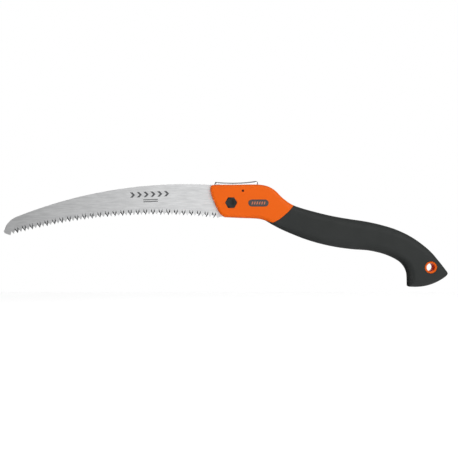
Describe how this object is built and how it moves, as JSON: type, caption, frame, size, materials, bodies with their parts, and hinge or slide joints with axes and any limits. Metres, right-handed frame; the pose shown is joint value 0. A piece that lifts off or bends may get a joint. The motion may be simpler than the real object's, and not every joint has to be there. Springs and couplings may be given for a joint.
{
  "type": "folding pruning saw",
  "caption": "Folding pruning saw with a long curved blade, a two-shell handle with a soft hooked grip, a sprung rocker lock and a hang hole.",
  "frame": {"origin": "middle of the hang hole, on the tool's mid-plane", "axes": "+X along the tool from the blade's tip to the butt, +Y across it from the bolt-head side, +Z towards the blade's back"},
  "size_m": [0.4286, 0.0248, 0.1022],
  "materials": {
    "blade_steel": "fine brushed",
    "orange_plastic": "fine moulded texture",
    "black_rubber": "soft matte",
    "black_oxide": "black oxide",
    "plated_steel": "bright zinc plate",
    "steel": "ground",
    "washer_plastic": "moulded",
    "badge_plastic": "satin"
  },
  "bodies": {
    "handle": {"left_shell": "orange_plastic", "right_shell": "orange_plastic", "left_grip": "black_rubber", "right_grip": "black_rubber", "pivot_bolt": "black_oxide", "pivot_nut": "black_oxide", "spring_washer": "steel", "flat_washer": "steel", "pivot_bush": "steel", "left_thrust_washer": "washer_plastic", "right_thrust_washer": "washer_plastic", "lever_pin": "steel", "lever_spring": "steel", "left_badge": "badge_plastic", "right_badge": "badge_plastic", "left_eyelet": "orange_plastic", "right_eyelet": "orange_plastic", "shell_screws": "black_oxide"},
    "blade": {"blade": "blade_steel"},
    "lever": {"lock_lever": "plated_steel", "lock_pin": "steel"}
  },
  "joints": [
    {"name": "blade_fold", "type": "hinge", "parent": "handle", "child": "blade", "pos_m": [-0.1916, 0, 0.0621], "axis": [0, -1, 0], "range_deg": [0, 155.5]},
    {"name": "lever_rock", "type": "hinge", "parent": "handle", "child": "lever", "pos_m": [-0.1803, 0, 0.0736], "axis": [0, 1, 0], "range_deg": [-7.5, 3], "stiffness_Nm_per_rad": 0.15, "springref_deg": -10.31, "deforming": ["lever_spring"]}
  ]
}
